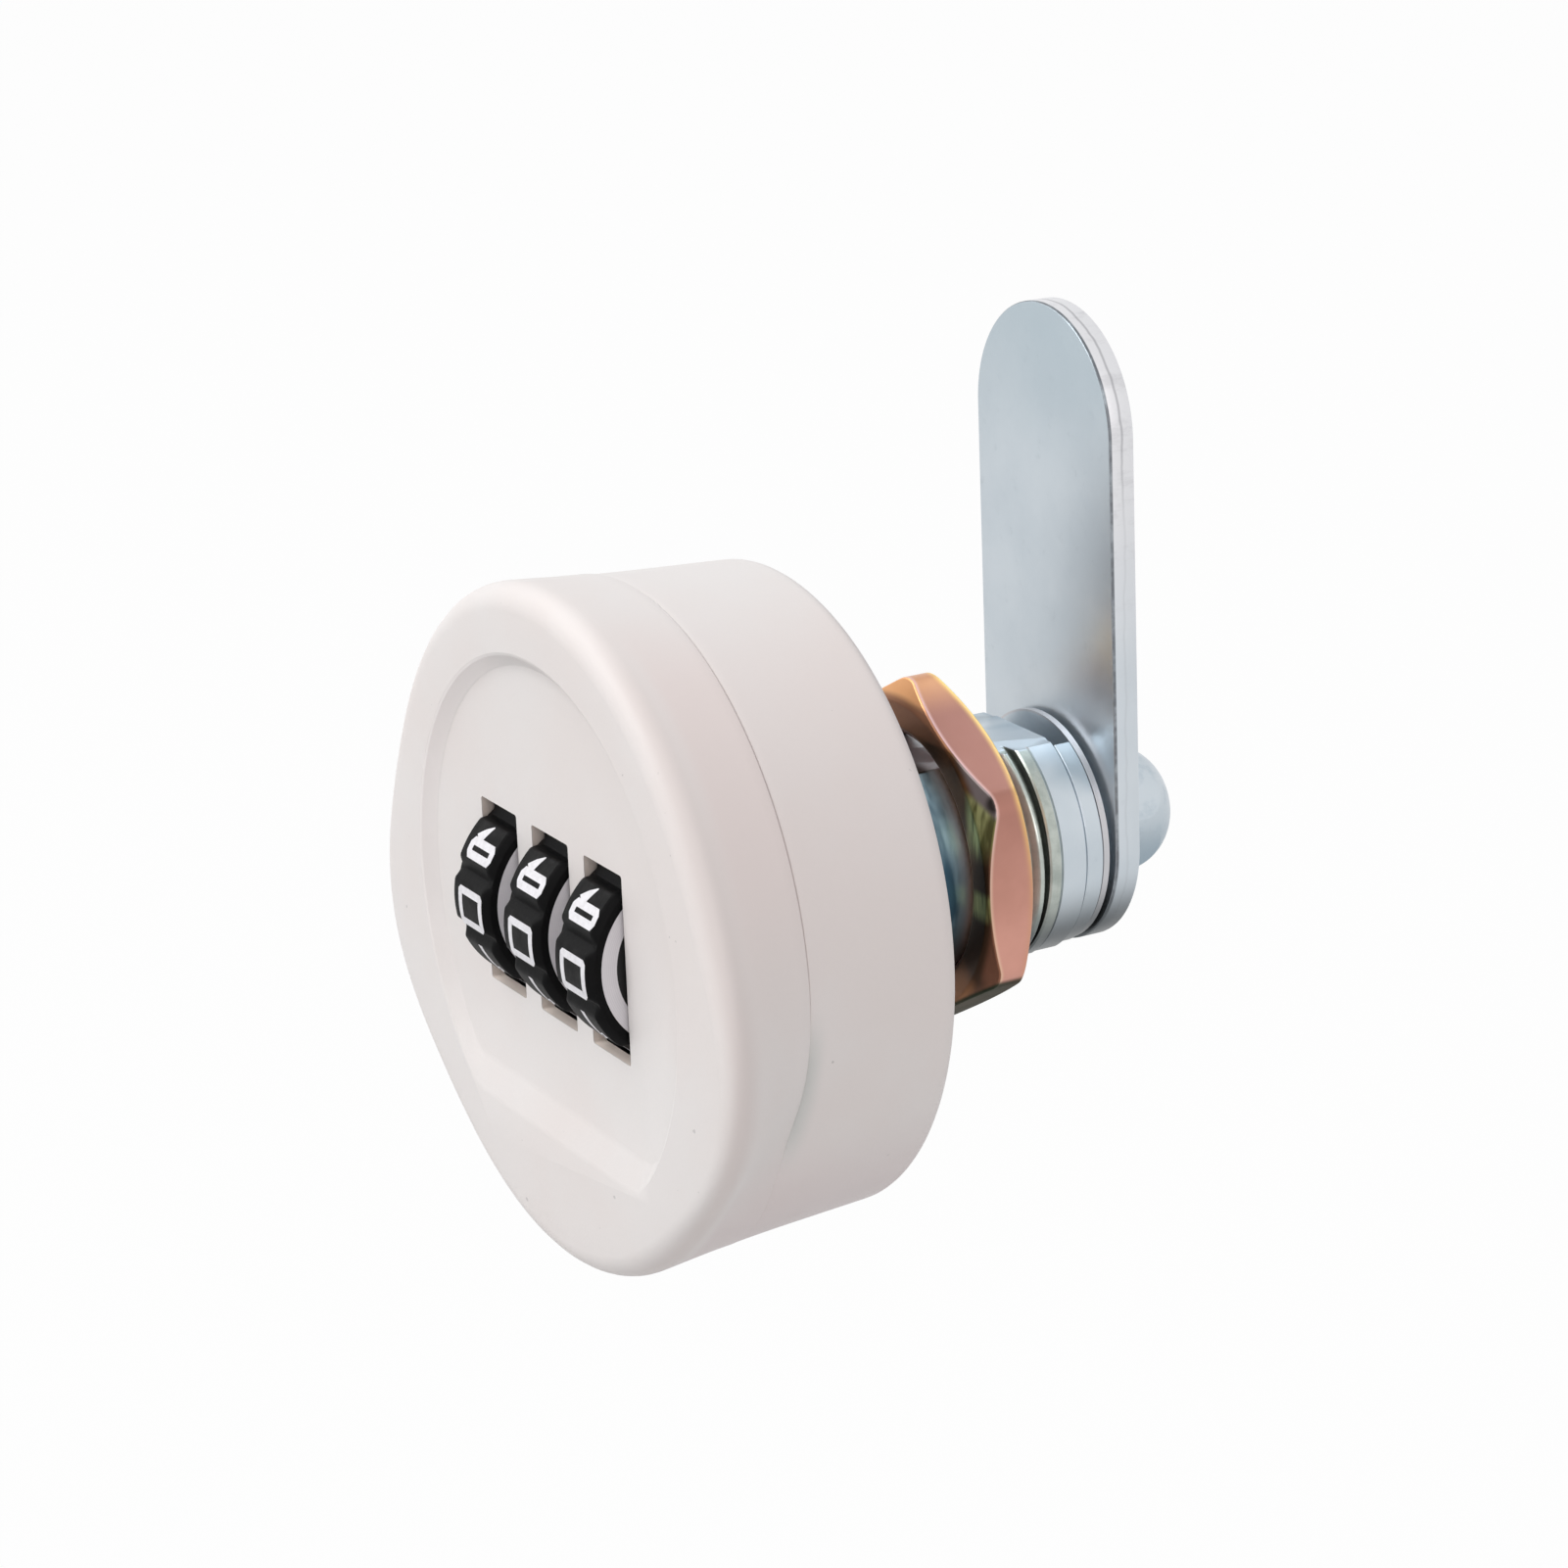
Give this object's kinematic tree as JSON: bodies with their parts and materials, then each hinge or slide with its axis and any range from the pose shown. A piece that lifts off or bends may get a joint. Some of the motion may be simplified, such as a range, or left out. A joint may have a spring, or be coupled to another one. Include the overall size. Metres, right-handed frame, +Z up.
{
  "type": "cabinet lock",
  "caption": "Keyless combination cam lock for a cabinet door: round turning knob with number dials, threaded barrel with flats, hexagon nut and a flat round-ended cam.",
  "frame": {"origin": "on the lock axis in the panel plane, which is the rear face of the base ring", "axes": "+Y along the lock axis from the knob through the panel to the cam, +Z up along the cam, +X to the right seen from the front"},
  "size_m": [0.0538, 0.054, 0.0652],
  "materials": {
    "shell": "satin warm white",
    "cast_zinc": "bright zinc plated",
    "nut_plating": "yellow passivated zinc",
    "frame": "satin",
    "cam_steel": "zinc plated",
    "bright_steel": "plated",
    "bolt_steel": "zinc plated",
    "spring_steel": "plain",
    "dial_black": "satin",
    "sleeve_grey": "satin",
    "hub_black": "satin"
  },
  "bodies": {
    "housing": {"base_ring": "shell", "barrel": "cast_zinc", "flange_screws": "bolt_steel", "mounting_nut": "nut_plating"},
    "knob": {"front_cover": "shell", "carrier_frame": "frame", "carrier_screws": "bolt_steel", "dial_axle": "bright_steel", "detent_spring": "spring_steel", "spindle": "cast_zinc", "spindle_screws": "bolt_steel", "stop_washer": "bright_steel", "spacer_washer": "bright_steel", "cam": "cam_steel", "lock_washer": "bright_steel", "cam_bolt": "bolt_steel", "slider_spring": "spring_steel"},
    "slider": {"locking_slider": "bright_steel"},
    "dial_1": {"dial_wheel_1": "dial_black", "code_sleeve_1": "sleeve_grey", "code_disc_1": "hub_black"},
    "dial_2": {"dial_wheel_2": "dial_black", "code_sleeve_2": "sleeve_grey", "code_disc_2": "hub_black"},
    "dial_3": {"dial_wheel_3": "dial_black", "code_sleeve_3": "sleeve_grey", "code_disc_3": "hub_black"}
  },
  "joints": [
    {"name": "knob_turn", "type": "hinge", "parent": "housing", "child": "knob", "pos_m": [0, 0, 0], "axis": [0, 1, 0], "range_deg": [0, 90]},
    {"name": "dial_1_turn", "type": "hinge", "parent": "knob", "child": "dial_1", "pos_m": [-0.00821, -0.01465, 0.00025], "axis": [1, 0, 0], "continuous": true},
    {"name": "dial_2_turn", "type": "hinge", "parent": "knob", "child": "dial_2", "pos_m": [0, -0.01465, 0.00025], "axis": [1, 0, 0], "continuous": true},
    {"name": "dial_3_turn", "type": "hinge", "parent": "knob", "child": "dial_3", "pos_m": [0.00821, -0.01465, 0.00025], "axis": [1, 0, 0], "continuous": true},
    {"name": "slider_travel", "type": "slide", "parent": "knob", "child": "slider", "axis": [0, -1, 0], "range_m": [-0.0009, 0], "stiffness_N_per_m": 150, "springref_m": -0.0009, "deforming": ["slider_spring"]}
  ]
}
